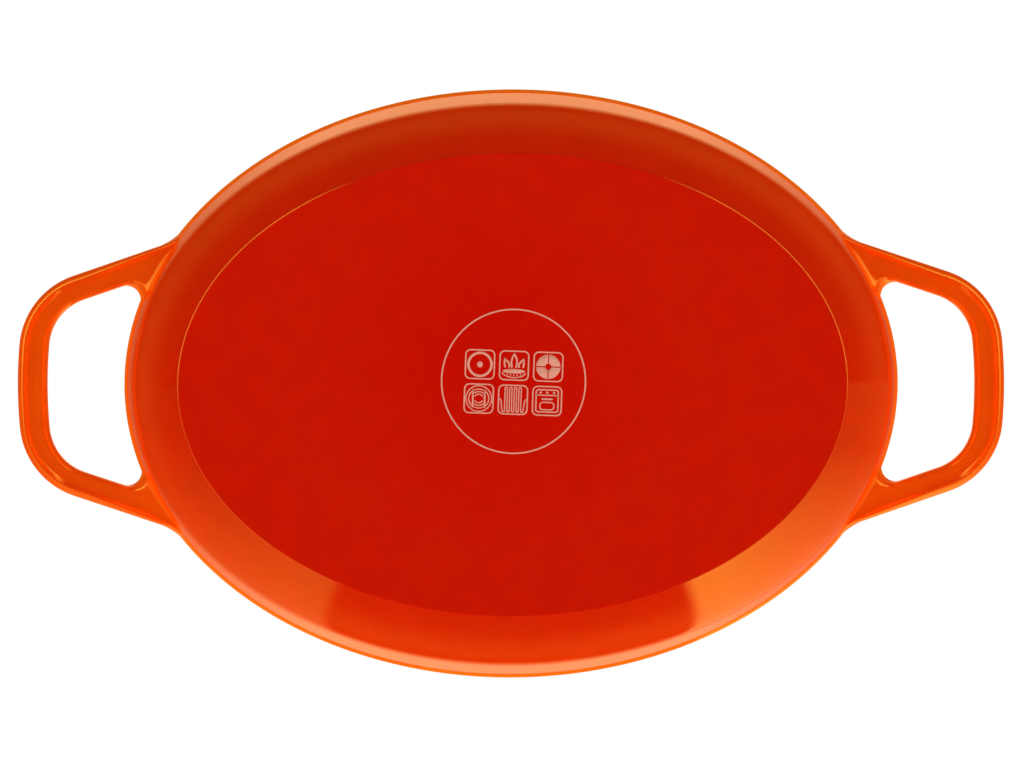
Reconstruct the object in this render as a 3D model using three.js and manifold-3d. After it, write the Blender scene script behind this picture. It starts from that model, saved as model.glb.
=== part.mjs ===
// Oval dutch oven of enamelled cast iron: a pot with two cast loop handles, a domed lid that
// lifts off, and a stainless knob that a machine screw holds on the lid.
// Millimetres, +Z up, the long axis along X. The origin is the centre of the pot's flat base.
import * as THREE from "three";
import { mergeVertices } from "three/addons/utils/BufferGeometryUtils.js";
import Module from "manifold-3d";

const wasm = await Module();
wasm.setup();
const { degToRad } = THREE.MathUtils;

// Pot
const RIM_LENGTH = 330; // over the lip, along X
const RIM_WIDTH = 251; // over the lip, along Y
const POT_HEIGHT = 112;
const WALL = 4.5;
const FLOOR = 5;
const WALL_DRAFT = degToRad(9); // lean of the straight wall, from upright, at the oval's sides
const FOOT_LEAN = 0.8; // the wall's foot comes this much further out at the oval's ends
const LIP_HEIGHT = 6; // round bead along the rim
const LIP_OVERHANG = 1.2; // how far the bead stands out from the wall
const MOUTH_ROUND = 1; // chamfer on the rim's inner edge
const CORNER_RADIUS = 55; // round between wall and base, outside
const BASE_EDGE_TILT = degToRad(35); // where that round stops: its angle from the base there
const INNER_CORNER_RADIUS = 34; // round between wall and floor, inside
const BASE_PAD_STEP = 0.8; // the flat base stands this far below the round
const BASE_PAD_EDGE = 1.2; // width of the pad's rounded edge

// Loop handles, seen from above
const OVERALL_LENGTH = 419; // over both handles
const HANDLE_ROOT_WIDTH = 107.6; // over the two flanks of a handle, where they pass the rim's end
const FLANK_ANGLE = degToRad(18.7); // how much each flank closes in, going outwards
const FLANK_WIDTH = 11; // width of the bar in its flanks
const BAR_WIDTH = 12.3; // and in its grip
const HANDLE_CORNER_RADIUS = 34; // outer corners of the loop
const INSIDE_CORNER_RADIUS = 22; // inner corners of the loop
const GRIP_BOW = degToRad(5); // the grip bows outwards by this angle on each side of its middle
const ROOT_FILLET_OUTSIDE = 24; // between flank and lip, outside the loop
const ROOT_FILLET_INSIDE = 6; // between flank and lip, in the loop's corners

// Loop handles, in section
const HANDLE_THICKNESS = 11;
const HANDLE_DROP = 2.5; // top of the handle, below the rim
const RIDGE_INSET = 3.4; // ridge under the bar, from its outer edge
const FINGER_GROOVE = 1.7; // depth of the hollow under the bar, inside the ridge
const INNER_EDGE_ROUND = 2.4;
const ROOT_DROP = 1; // the bar deepens by this much as it meets the wall
const ROOT_RISE = 1.2; // and grows upwards by this much
const ROOT_EDGE_LIFT = 4.3; // the bar's outer edge rises this much at its root, to meet the bead
const ROOT_SINK = 0.6; // the end of the root lies this deep in the wall
const ROOT_GROOVE_END = 0.95; // share of the root's fillet over which the hollow runs out

// Lid
const LID_EDGE_INSET = 1; // edge of the lid, inside the lip
const FLANGE_THICKNESS = 5;
const FLANGE_WIDTH = 15; // flat rim around the dome
const FLANGE_ROUND = 2;
const DOME_STEP = 1.6; // small step from the flange up to the dome
const LID_RISE = 20; // height of the dome above that step
const DOME_POWER = 2.4; // how flat the top of the dome is
const LID_THICKNESS = 4.5;
const SKIRT_DEPTH = 5; // rib that drops into the mouth and centres the lid
const SKIRT_WIDTH = 4;
const SKIRT_CLEARANCE = 0.8;
const SKIRT_ROUND = 0.8;
const BOSS_DIAMETER = 36; // flat seat for the knob
const BOSS_HEIGHT = 1.5;
const SCREW_SEAT_DIAMETER = 22; // flat seat for the washers, under the lid
const SCREW_SEAT_HEIGHT = 1.2;

// Knob and its fastener
const SCREW_DIAMETER = 6;
const SCREW_HEAD_DIAMETER = 11.5;
const SCREW_HEAD_HEIGHT = 3.6;
const SCREW_SLOT_WIDTH = 1.6;
const SCREW_SLOT_DEPTH = 1.8;
const THREAD_REACH = 11; // how far the screw goes into the threaded bush
const LOCK_WASHER_DIAMETER = 10.6;
const LOCK_WASHER_THICKNESS = 1.4;
const LOCK_WASHER_GAP = 1.2; // width of the cut in the ring
const LOCK_WASHER_CUT = degToRad(20); // slant of the cut
const FLAT_WASHER_DIAMETER = 17;
const FLAT_WASHER_THICKNESS = 1.2;
const GASKET_DIAMETER = 25;
const GASKET_THICKNESS = 1;
const STEM_HEIGHT = 17;
const STEM_FOOT_DIAMETER = 29;
const STEM_FOOT_EDGE = 1.6;
const STEM_NECK_DIAMETER = 18;
const STEM_HEAD_DIAMETER = 27;
const STEM_HEAD_EDGE = 1.4;
const BUSH_DIAMETER = 11;
const BUSH_FLANGE_DIAMETER = 16;
const BUSH_FLANGE_THICKNESS = 2;
const BUSH_ROOF = 2.5; // metal above the blind thread
const KNOB_DIAMETER = 44;
const KNOB_CAP_HEIGHT = 13;
const KNOB_CAP_EDGE = 4; // height of the cap's rounded rim
const KNOB_CAP_WALL = 1.6;

// Fits
const SEAT_GAP = 0.3; // between faces that rest on each other
const RUNNING_GAP = 0.3; // between a shank or spigot and its hole

// Fineness of the round surfaces
const OVAL_SEGMENTS = 72;
const ROUND_SEGMENTS = 32;
const ARC_STEPS = 6;
const DOME_STEPS = 8;

// Solids and booleans

function toSolid(geometry) {
  const bare = geometry.clone();
  bare.deleteAttribute("normal");
  bare.deleteAttribute("uv");
  const merged = mergeVertices(bare, 1e-4);
  return new wasm.Manifold(
    new wasm.Mesh({
      numProp: 3,
      vertProperties: new Float32Array(merged.attributes.position.array),
      triVerts: new Uint32Array(merged.index.array),
    }),
  );
}

function toGeometry(solid) {
  const mesh = solid.getMesh();
  const geometry = new THREE.BufferGeometry();
  geometry.setAttribute("position", new THREE.BufferAttribute(mesh.vertProperties, 3));
  geometry.setIndex(new THREE.BufferAttribute(mesh.triVerts, 1));
  geometry.computeVertexNormals();
  return geometry;
}

// A solid of revolution about Z, from [radius, z] points up its outside. A tube's profile closes on itself.
function revolved(points, segments = ROUND_SEGMENTS) {
  const profile = points.map(([radius, z]) => new THREE.Vector2(radius, z));
  return new THREE.LatheGeometry(profile, segments).rotateX(Math.PI / 2);
}

function cylinder(diameter, bottom, top) {
  const radius = diameter / 2;
  return revolved([[0, bottom], [radius, bottom], [radius, top], [0, top]]);
}

// A flat ring around Z, for washers and the gasket
function ring(outerDiameter, innerDiameter, thickness) {
  const inner = innerDiameter / 2;
  const outer = outerDiameter / 2;
  return revolved([[inner, 0], [outer, 0], [outer, thickness], [inner, thickness], [inner, 0]]);
}

// The oval turning: each profile point is { inset, z, scale }, a ring that lies inset inside the lip's
// oval and is then shrunk by scale, so that scale 0 closes the surface on the axis. endInset, where it
// is given, is the inset at the oval's ends.
function ovalTurned(profile) {
  const long = profile.map(({ inset, endInset = inset, scale = 1 }) => (RIM_LENGTH / 2 - endInset) * scale);
  const short = profile.map(({ inset, scale = 1 }) => (RIM_WIDTH / 2 - inset) * scale);
  const geometry = revolved(profile.map(({ z }, i) => [long[i], z]), OVAL_SEGMENTS);
  const position = geometry.attributes.position;
  for (let i = 0; i < position.count; i++) {
    const row = i % profile.length;
    const squeeze = long[row] > 0 ? short[row] / long[row] : 0;
    position.setY(i, position.getY(i) * squeeze);
  }
  return geometry;
}

// Profile points on a round whose surface tilts away from facing down, from one tilt to another
function roundProfile(centreInset, centreZ, radius, fromTilt, toTilt, steps = ARC_STEPS) {
  return Array.from({ length: steps + 1 }, (_, i) => {
    const tilt = THREE.MathUtils.lerp(fromTilt, toTilt, i / steps);
    return { inset: centreInset - radius * Math.sin(tilt), z: centreZ - radius * Math.cos(tilt) };
  });
}

// Pot

const wallTilt = Math.PI / 2 - WALL_DRAFT;
const wallTopZ = POT_HEIGHT - LIP_HEIGHT;
const beadRadius = LIP_HEIGHT / 2;
const cornerFootZ = BASE_PAD_STEP;
const wallFootZ = cornerFootZ + CORNER_RADIUS * (Math.cos(BASE_EDGE_TILT) - Math.sin(WALL_DRAFT));

function outerWallInset(z) {
  return LIP_OVERHANG + (wallTopZ - z) * Math.tan(WALL_DRAFT);
}

function innerWallInset(z) {
  return outerWallInset(z) + WALL / Math.cos(WALL_DRAFT);
}

// How much further out the outer wall lies at the oval's ends than at its sides
function endLean(z) {
  return FOOT_LEAN * Math.max(0, 1 - z / wallTopZ);
}

// The pot as a filled block: base pad, round, drafted wall and the bead along the rim
function potBlock() {
  const corner = roundProfile(
    outerWallInset(wallFootZ) + CORNER_RADIUS * Math.cos(WALL_DRAFT),
    wallFootZ + CORNER_RADIUS * Math.sin(WALL_DRAFT),
    CORNER_RADIUS,
    BASE_EDGE_TILT,
    wallTilt,
  );
  const padInset = corner[0].inset + BASE_PAD_EDGE / 3;
  const beadFootTilt = Math.asin((beadRadius - LIP_OVERHANG) / beadRadius);
  const beadZ = POT_HEIGHT - beadRadius;
  const bead = roundProfile(beadRadius, beadZ, beadRadius, beadFootTilt, Math.PI, ARC_STEPS + 2);
  const padAndWall = [
    { inset: padInset + BASE_PAD_EDGE, z: 0 },
    { inset: padInset + BASE_PAD_EDGE * 0.35, z: BASE_PAD_STEP * 0.2 },
    { inset: padInset, z: BASE_PAD_STEP * 0.7 },
    ...corner,
  ];
  return ovalTurned([
    { inset: 0, z: 0, scale: 0 },
    ...padAndWall.map(({ inset, z }) => ({ inset, z, endInset: inset - endLean(z) })),
    ...bead,
    { inset: 0, z: POT_HEIGHT, scale: 0 },
  ]);
}

// The room inside the pot, from the floor to just above the rim
function potCavity() {
  const wallMeetsRoundZ = FLOOR + INNER_CORNER_RADIUS * (1 - Math.sin(WALL_DRAFT));
  const corner = roundProfile(
    innerWallInset(wallMeetsRoundZ) + INNER_CORNER_RADIUS * Math.cos(WALL_DRAFT),
    FLOOR + INNER_CORNER_RADIUS,
    INNER_CORNER_RADIUS,
    0,
    wallTilt,
  );
  const mouthInset = innerWallInset(POT_HEIGHT) - MOUTH_ROUND;
  return ovalTurned([
    { inset: 0, z: FLOOR, scale: 0 },
    ...corner,
    { inset: innerWallInset(POT_HEIGHT - MOUTH_ROUND), z: POT_HEIGHT - MOUTH_ROUND },
    { inset: mouthInset, z: POT_HEIGHT },
    { inset: mouthInset, z: POT_HEIGHT + MOUTH_ROUND },
    { inset: 0, z: POT_HEIGHT + MOUTH_ROUND, scale: 0 },
  ]);
}

// Handles. The outline is worked out for the half with y > 0 of the handle at +X, and mirrored.

const flankDirection = new THREE.Vector2(Math.cos(FLANK_ANGLE), -Math.sin(FLANK_ANGLE));
const flankNormal = new THREE.Vector2(Math.sin(FLANK_ANGLE), Math.cos(FLANK_ANGLE));
const flankStart = new THREE.Vector2(RIM_LENGTH / 2, HANDLE_ROOT_WIDTH / 2);
const handleReach = OVERALL_LENGTH / 2;

// The half length and half width of the pot's outer skin at a height, on the wall or the bead, less
// the depth that a handle's root sinks into it
function rootOval(z) {
  const below = THREE.MathUtils.clamp(POT_HEIGHT - beadRadius - z, 0, beadRadius);
  const beadInset = beadRadius - Math.sqrt(beadRadius ** 2 - below ** 2);
  const wallInset = outerWallInset(Math.min(z, wallTopZ));
  return {
    a: RIM_LENGTH / 2 - Math.min(beadInset, wallInset - endLean(z)) - ROOT_SINK,
    b: RIM_WIDTH / 2 - Math.min(beadInset, wallInset) - ROOT_SINK,
  };
}

// The point of an oval nearest to a point outside it, by steps along its centres of curvature
function nearestOnOval(point, { a, b }) {
  let c = Math.SQRT1_2;
  let s = Math.SQRT1_2;
  for (let i = 0; i < 12; i++) {
    const evolute = new THREE.Vector2(((a * a - b * b) * c ** 3) / a, ((b * b - a * a) * s ** 3) / b);
    const toOval = Math.hypot(a * c - evolute.x, b * s - evolute.y);
    const toPoint = new THREE.Vector2(Math.abs(point.x), Math.abs(point.y)).sub(evolute).setLength(toOval);
    c = THREE.MathUtils.clamp((toPoint.x + evolute.x) / a, 0, 1);
    s = THREE.MathUtils.clamp((toPoint.y + evolute.y) / b, 0, 1);
    const length = Math.hypot(c, s);
    c /= length;
    s /= length;
  }
  return new THREE.Vector2(a * c * Math.sign(point.x), b * s * Math.sign(point.y));
}

function arcPoints(centre, radius, from, to, steps) {
  return Array.from({ length: steps + 1 }, (_, i) => {
    const angle = THREE.MathUtils.lerp(from, to, i / steps);
    return new THREE.Vector2(Math.cos(angle), Math.sin(angle)).multiplyScalar(radius).add(centre);
  });
}

// The fillet of that radius between an oval and a flank line, from the oval to the line. side is 1
// where the fillet lies outside the loop and -1 in the loop's corner.
function rootFillet(linePoint, radius, side, oval) {
  const centreAt = (along) =>
    linePoint.clone().addScaledVector(flankDirection, along).addScaledVector(flankNormal, side * radius);
  let low = -HANDLE_ROOT_WIDTH / 2;
  let high = handleReach - RIM_LENGTH / 2;
  for (let i = 0; i < 40; i++) {
    const middle = (low + high) / 2;
    const centre = centreAt(middle);
    const outside = (centre.x / oval.a) ** 2 + (centre.y / oval.b) ** 2 > 1;
    if (outside && centre.distanceTo(nearestOnOval(centre, oval)) > radius) high = middle;
    else low = middle;
  }
  const centre = centreAt((low + high) / 2);
  const toOval = nearestOnOval(centre, oval).sub(centre).angle();
  const toLine = flankNormal.clone().multiplyScalar(-side).angle();
  const turn = Math.atan2(Math.sin(toLine - toOval), Math.cos(toLine - toOval));
  return arcPoints(centre, radius, toOval, toOval + turn, ARC_STEPS);
}

// One edge of the bar in plan, from the oval along the flank and round the corner to the bowed grip
function loopEdge({ offset, reach, cornerRadius, filletRadius, side }, oval) {
  const start = flankStart.clone().addScaledVector(flankNormal, -offset);
  const corner = new THREE.Vector2(0, HANDLE_ROOT_WIDTH / 4);
  let bowEndY = 0;
  for (let i = 0; i < 8; i++) {
    bowEndY = corner.y + cornerRadius * Math.sin(GRIP_BOW);
    corner.x = reach - cornerRadius * Math.cos(GRIP_BOW) - bowEndY * Math.tan(GRIP_BOW / 2);
    corner.y = start.y - (cornerRadius + flankNormal.x * (corner.x - start.x)) / flankNormal.y;
  }
  const gripRadius = bowEndY / Math.sin(GRIP_BOW);
  const gripCentre = new THREE.Vector2(reach - gripRadius, 0);
  return [
    ...rootFillet(start, filletRadius, side, oval),
    ...arcPoints(corner, cornerRadius, flankNormal.angle(), GRIP_BOW, ARC_STEPS),
    ...arcPoints(gripCentre, gripRadius, GRIP_BOW, 0, 2).slice(1),
  ];
}

const outerEdge = {
  offset: 0,
  reach: handleReach,
  cornerRadius: HANDLE_CORNER_RADIUS,
  filletRadius: ROOT_FILLET_OUTSIDE,
  side: 1,
};
const innerEdge = {
  offset: FLANK_WIDTH,
  reach: handleReach - BAR_WIDTH,
  cornerRadius: INSIDE_CORNER_RADIUS,
  filletRadius: ROOT_FILLET_INSIDE,
  side: -1,
};

// The bar's section as [distance from its outer edge, height above its middle] points, going round
function barSection(width, root) {
  const half = HANDLE_THICKNESS / 2;
  const flare = root ** 2;
  const top = half + ROOT_RISE * flare;
  const bottom = -half - ROOT_DROP * flare;
  const edge = ROOT_EDGE_LIFT * flare;
  const rounded = (a, end) => [RIDGE_INSET * (1 - Math.cos(a)), edge + (end - edge) * Math.sin(a)];
  const hollow = bottom + FINGER_GROOVE * Math.max(0, 1 - root / ROOT_GROOVE_END);
  const inside = width - INNER_EDGE_ROUND;
  const roundSteps = [0, 30, 60].map(degToRad);
  return [
    ...roundSteps.map((a) => rounded(a, top)),
    [RIDGE_INSET, top],
    [inside, top - INNER_EDGE_ROUND / 4],
    [width - INNER_EDGE_ROUND / 3, top - INNER_EDGE_ROUND],
    [width, 0],
    [width - INNER_EDGE_ROUND / 3, hollow + INNER_EDGE_ROUND / 2],
    [inside, hollow],
    [(inside + RIDGE_INSET) / 2, hollow],
    [RIDGE_INSET, bottom],
    ...roundSteps.slice(1).reverse().map((a) => rounded(a, bottom)),
  ];
}

// A closed solid through rings of the same number of points. Both end rings are convex.
function lofted(rings) {
  const count = rings[0].length;
  const index = [];
  for (let r = 0; r + 1 < rings.length; r++) {
    for (let k = 0; k < count; k++) {
      const a = r * count + k;
      const b = r * count + ((k + 1) % count);
      index.push(a, b, b + count, a, b + count, a + count);
    }
  }
  const last = (rings.length - 1) * count;
  for (let k = 1; k + 1 < count; k++) {
    index.push(0, k + 1, k, last, last + k, last + k + 1);
  }
  const geometry = new THREE.BufferGeometry();
  geometry.setFromPoints(rings.flat());
  geometry.setIndex(index);
  return geometry;
}

// The loop, whose plan is worked out anew for each point of the section, because the pot's skin that
// its roots run into leans with height
function handleLoop() {
  const middleZ = POT_HEIGHT - HANDLE_DROP - HANDLE_THICKNESS / 2;
  const edges = barSection(BAR_WIDTH, 1).map(([, height]) => {
    const oval = rootOval(middleZ + height);
    return { outer: loopEdge(outerEdge, oval), inner: loopEdge(innerEdge, oval) };
  });
  const half = edges[0].outer.map((start, i) => {
    const root = Math.max(0, 1 - i / ARC_STEPS); // 1 at the pot's skin, 0 where the flank runs straight
    const width = start.distanceTo(edges[0].inner[i]);
    return barSection(width, root).map(([distance, height], k) => {
      const { x, y } = edges[k].outer[i].clone().lerp(edges[k].inner[i], distance / width);
      return new THREE.Vector3(x, y, middleZ + height);
    });
  });
  const intoWall = new THREE.Vector3(-LIP_OVERHANG - WALL, 0, 0);
  const upper = [half[0].map((point) => point.clone().add(intoWall)), ...half];
  const mirror = new THREE.Vector3(1, -1, 1);
  const lower = upper.slice(0, -1).reverse().map((ring) => ring.map((point) => point.clone().multiply(mirror)));
  return lofted([...upper, ...lower]);
}

function potBody() {
  const handle = toSolid(handleLoop());
  return toSolid(potBlock())
    .add(handle)
    .add(handle.rotate([0, 0, 180]))
    .subtract(toSolid(potCavity()));
}

// Lid, in its own frame: z 0 is its seat on the rim

const domeInset = LID_EDGE_INSET + FLANGE_WIDTH;
const domeFootZ = FLANGE_THICKNESS + DOME_STEP;
const lidTopZ = domeFootZ + LID_RISE;
const screwSeatZ = lidTopZ - LID_THICKNESS - SCREW_SEAT_HEIGHT;
const knobSeatZ = lidTopZ + BOSS_HEIGHT;
const screwHoleDiameter = SCREW_DIAMETER + 2 * RUNNING_GAP;

function domeProfile(drop) {
  return Array.from({ length: DOME_STEPS + 1 }, (_, i) => {
    const scale = 1 - i / DOME_STEPS;
    return { inset: domeInset, z: domeFootZ - drop + LID_RISE * (1 - scale ** DOME_POWER), scale };
  });
}

function lidShell() {
  const skirtTop = innerWallInset(POT_HEIGHT) + SKIRT_CLEARANCE;
  const skirtFoot = innerWallInset(POT_HEIGHT - SKIRT_DEPTH) + SKIRT_CLEARANCE;
  return ovalTurned([
    ...domeProfile(LID_THICKNESS).reverse(),
    { inset: skirtFoot + SKIRT_WIDTH, z: -SKIRT_DEPTH + SKIRT_ROUND },
    { inset: skirtFoot + SKIRT_WIDTH - SKIRT_ROUND, z: -SKIRT_DEPTH },
    { inset: skirtFoot + SKIRT_ROUND, z: -SKIRT_DEPTH },
    { inset: skirtFoot, z: -SKIRT_DEPTH + SKIRT_ROUND },
    { inset: skirtTop, z: 0 },
    ...roundProfile(LID_EDGE_INSET + FLANGE_ROUND, FLANGE_ROUND, FLANGE_ROUND, 0, Math.PI / 2, 3),
    ...roundProfile(
      LID_EDGE_INSET + FLANGE_ROUND,
      FLANGE_THICKNESS - FLANGE_ROUND,
      FLANGE_ROUND,
      Math.PI / 2,
      Math.PI,
      3,
    ),
    { inset: domeInset - DOME_STEP * 2, z: FLANGE_THICKNESS },
    ...domeProfile(0),
  ]);
}

function lid() {
  const boss = cylinder(BOSS_DIAMETER, lidTopZ - LID_THICKNESS / 2, knobSeatZ);
  const screwSeat = cylinder(SCREW_SEAT_DIAMETER, screwSeatZ, lidTopZ - LID_THICKNESS / 2);
  const screwHole = cylinder(screwHoleDiameter, screwSeatZ - 1, knobSeatZ + 1);
  return toSolid(lidShell()).add(toSolid(boss)).add(toSolid(screwSeat)).subtract(toSolid(screwHole));
}

// Knob, each piece in its own frame with z 0 at its lowest face

const boreDiameter = BUSH_DIAMETER + 2 * RUNNING_GAP;
const bushShank = STEM_HEIGHT - SEAT_GAP;
const bushHeight = bushShank + SEAT_GAP + BUSH_FLANGE_THICKNESS;
const threadDepth = bushHeight - BUSH_ROOF;

// A flared stem: wide foot, slim neck, and a head that carries the cap
function knobStem() {
  const foot = STEM_FOOT_DIAMETER / 2;
  const neck = STEM_NECK_DIAMETER / 2;
  const head = STEM_HEAD_DIAMETER / 2;
  const bore = boreDiameter / 2;
  const neckZ = STEM_HEIGHT * 0.55;
  const headFootZ = STEM_HEIGHT - STEM_HEAD_EDGE;
  const curve = new THREE.CatmullRomCurve3([
    new THREE.Vector3(foot, STEM_FOOT_EDGE, 0),
    new THREE.Vector3((foot + neck * 2) / 3, (STEM_FOOT_EDGE * 2 + neckZ) / 3, 0),
    new THREE.Vector3(neck, neckZ, 0),
    new THREE.Vector3((head + neck * 2) / 3, (headFootZ * 2 + neckZ) / 3, 0),
    new THREE.Vector3(head, headFootZ, 0),
  ]);
  return revolved([
    [bore, 0],
    [foot - STEM_FOOT_EDGE / 2, 0],
    [foot, STEM_FOOT_EDGE / 2],
    ...curve.getPoints(ARC_STEPS + 4).map(({ x, y }) => [x, y]),
    [head, STEM_HEIGHT],
    [bore, STEM_HEIGHT],
    [bore, 0],
  ]);
}

// A bush with a blind thread, whose flange hangs it on the stem's head
function threadedBush() {
  const thread = screwHoleDiameter / 2;
  const shank = BUSH_DIAMETER / 2;
  const flange = BUSH_FLANGE_DIAMETER / 2;
  const flangeZ = bushHeight - BUSH_FLANGE_THICKNESS;
  return revolved([
    [0, threadDepth],
    [thread, threadDepth],
    [thread, 0],
    [shank, 0],
    [shank, flangeZ],
    [flange, flangeZ],
    [flange, bushHeight],
    [0, bushHeight],
  ]);
}

// A drawn cap: domed outside, hollow inside, with a hole that takes the bush's flange
function knobCap() {
  const edge = KNOB_DIAMETER / 2;
  const hole = BUSH_FLANGE_DIAMETER / 2 + RUNNING_GAP;
  const rise = KNOB_CAP_HEIGHT - KNOB_CAP_EDGE;
  const dome = (inward) =>
    Array.from({ length: ARC_STEPS + 1 }, (_, i) => {
      const angle = ((i / ARC_STEPS) * Math.PI) / 2;
      return [(edge - inward) * Math.cos(angle) ** 0.8, KNOB_CAP_EDGE + (rise - inward) * Math.sin(angle)];
    });
  return revolved([
    [hole, 0],
    [edge - KNOB_CAP_EDGE * 0.5, 0],
    [edge - KNOB_CAP_EDGE * 0.15, KNOB_CAP_EDGE * 0.4],
    ...dome(0).slice(0, -1),
    [0, KNOB_CAP_HEIGHT],
    [0, KNOB_CAP_HEIGHT - KNOB_CAP_WALL],
    ...dome(KNOB_CAP_WALL).slice(0, -1).reverse(),
    [edge - KNOB_CAP_EDGE * 0.5 - KNOB_CAP_WALL, KNOB_CAP_WALL],
    [hole, KNOB_CAP_WALL],
    [hole, 0],
  ]);
}

// A slotted pan-head screw with its head down
function machineScrew(length) {
  const shank = SCREW_DIAMETER / 2;
  const head = SCREW_HEAD_DIAMETER / 2;
  const tip = SCREW_HEAD_HEIGHT + length;
  const body = revolved([
    [0, 0],
    [head * 0.7, 0],
    [head * 0.93, SCREW_HEAD_HEIGHT * 0.3],
    [head, SCREW_HEAD_HEIGHT * 0.7],
    [head, SCREW_HEAD_HEIGHT],
    [shank, SCREW_HEAD_HEIGHT],
    [shank, tip - shank / 3],
    [shank * 0.75, tip],
    [0, tip],
  ]);
  const slot = new THREE.BoxGeometry(SCREW_HEAD_DIAMETER * 1.2, SCREW_SLOT_WIDTH, 2 * SCREW_SLOT_DEPTH);
  return toSolid(body).subtract(toSolid(slot));
}

// A split spring washer: a ring with one slanted cut
function lockWasher() {
  const whole = toSolid(ring(LOCK_WASHER_DIAMETER, screwHoleDiameter, LOCK_WASHER_THICKNESS));
  const cut = new THREE.BoxGeometry(LOCK_WASHER_DIAMETER, LOCK_WASHER_GAP, LOCK_WASHER_THICKNESS * 4);
  cut.rotateX(LOCK_WASHER_CUT).translate(LOCK_WASHER_DIAMETER / 2, 0, LOCK_WASHER_THICKNESS / 2);
  return whole.subtract(toSolid(cut));
}

// Finishes

const enamel = new THREE.MeshStandardMaterial({ color: 0xd8430a, roughness: 0.12, metalness: 0 });
const stainless = new THREE.MeshStandardMaterial({ color: 0xc4c6c9, roughness: 0.22, metalness: 1 });
const plainSteel = new THREE.MeshStandardMaterial({ color: 0xa9abae, roughness: 0.35, metalness: 1 });
const brass = new THREE.MeshStandardMaterial({ color: 0xb8964a, roughness: 0.3, metalness: 1 });
const silicone = new THREE.MeshStandardMaterial({ color: 0x2a2a2c, roughness: 0.7, metalness: 0 });

function piece(name, shape, material, z = 0) {
  const geometry = shape.isBufferGeometry ? shape : toGeometry(shape);
  const mesh = new THREE.Mesh(geometry, material);
  mesh.name = name;
  mesh.position.z = z;
  return mesh;
}

// Assembly

// The knob's stack, from the lid's boss up
const stemZ = SEAT_GAP + GASKET_THICKNESS + SEAT_GAP;
const knobGroup = new THREE.Group();
knobGroup.position.z = knobSeatZ;
knobGroup.add(
  piece("knob_gasket", ring(GASKET_DIAMETER, screwHoleDiameter, GASKET_THICKNESS), silicone, SEAT_GAP),
  piece("knob_stem", knobStem(), stainless, stemZ),
  piece("knob_threaded_bush", threadedBush(), brass, stemZ + SEAT_GAP),
  piece("knob_cap", knobCap(), stainless, stemZ + STEM_HEIGHT + SEAT_GAP),
);

// The screw's stack, from the seat under the lid down
const flatWasherZ = screwSeatZ - SEAT_GAP - FLAT_WASHER_THICKNESS;
const lockWasherZ = flatWasherZ - SEAT_GAP - LOCK_WASHER_THICKNESS;
const screwHeadTopZ = lockWasherZ - SEAT_GAP;
const screwLength = knobSeatZ + stemZ + SEAT_GAP + THREAD_REACH - screwHeadTopZ;
const flatWasher = ring(FLAT_WASHER_DIAMETER, screwHoleDiameter, FLAT_WASHER_THICKNESS);

const lidGroup = new THREE.Group();
lidGroup.position.z = POT_HEIGHT + SEAT_GAP;
lidGroup.add(
  piece("lid", lid(), enamel),
  knobGroup,
  piece("flat_washer", flatWasher, plainSteel, flatWasherZ),
  piece("lock_washer", lockWasher(), plainSteel, lockWasherZ),
  piece("knob_screw", machineScrew(screwLength), plainSteel, screwHeadTopZ - SCREW_HEAD_HEIGHT),
);

const dutchOven = new THREE.Group();
dutchOven.add(piece("pot_body", potBody(), enamel), lidGroup);

export default dutchOven;
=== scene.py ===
"""Looks of the oval dutch oven: enamel, printed mark, knob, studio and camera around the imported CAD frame."""

import math

import bmesh
import bpy
import numpy as np
from mathutils import Matrix, Vector


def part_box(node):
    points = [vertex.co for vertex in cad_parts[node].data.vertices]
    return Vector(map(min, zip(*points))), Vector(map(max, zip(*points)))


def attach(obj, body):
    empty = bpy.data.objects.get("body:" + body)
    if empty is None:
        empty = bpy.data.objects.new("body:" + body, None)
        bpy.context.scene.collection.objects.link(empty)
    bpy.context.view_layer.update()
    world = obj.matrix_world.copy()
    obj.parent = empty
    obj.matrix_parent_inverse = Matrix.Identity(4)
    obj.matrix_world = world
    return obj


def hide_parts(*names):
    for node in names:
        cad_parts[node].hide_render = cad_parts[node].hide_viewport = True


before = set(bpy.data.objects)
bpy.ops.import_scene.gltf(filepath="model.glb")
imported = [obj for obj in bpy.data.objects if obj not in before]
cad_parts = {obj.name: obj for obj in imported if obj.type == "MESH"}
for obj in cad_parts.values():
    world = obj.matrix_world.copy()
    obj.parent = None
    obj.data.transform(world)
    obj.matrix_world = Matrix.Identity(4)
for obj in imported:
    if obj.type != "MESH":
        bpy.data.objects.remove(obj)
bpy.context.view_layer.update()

# Sizes in millimetres, as in the CAD source
MM = 0.001
pot_low, pot_high = (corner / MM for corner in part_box("pot_body"))
lid_low, lid_high = (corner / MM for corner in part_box("lid"))
POT_HEIGHT = pot_high.z
RIM_WIDTH = pot_high.y - pot_low.y
LID_EDGE_INSET = 1
RIM_LENGTH = lid_high.x - lid_low.x + 2 * LID_EDGE_INSET

WALL = 4.5
FLOOR = 5
WALL_DRAFT = math.radians(9)
FOOT_LEAN = 0.8
LIP_HEIGHT = 6
LIP_OVERHANG = 1.2
LIP_COVE = 0.5
LIP_COVE_TURN = math.radians(6.5)
MOUTH_ROUND = 1
CORNER_RADIUS = 55
BASE_EDGE_TILT = math.radians(35)
INNER_CORNER_RADIUS = 34
BASE_PAD_STEP = 0.8
BASE_PAD_ROUND = 1.1
BASE_PAD_INSET = 1.2
BASE_PAD_EDGE_TILT = math.radians(58)

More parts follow.
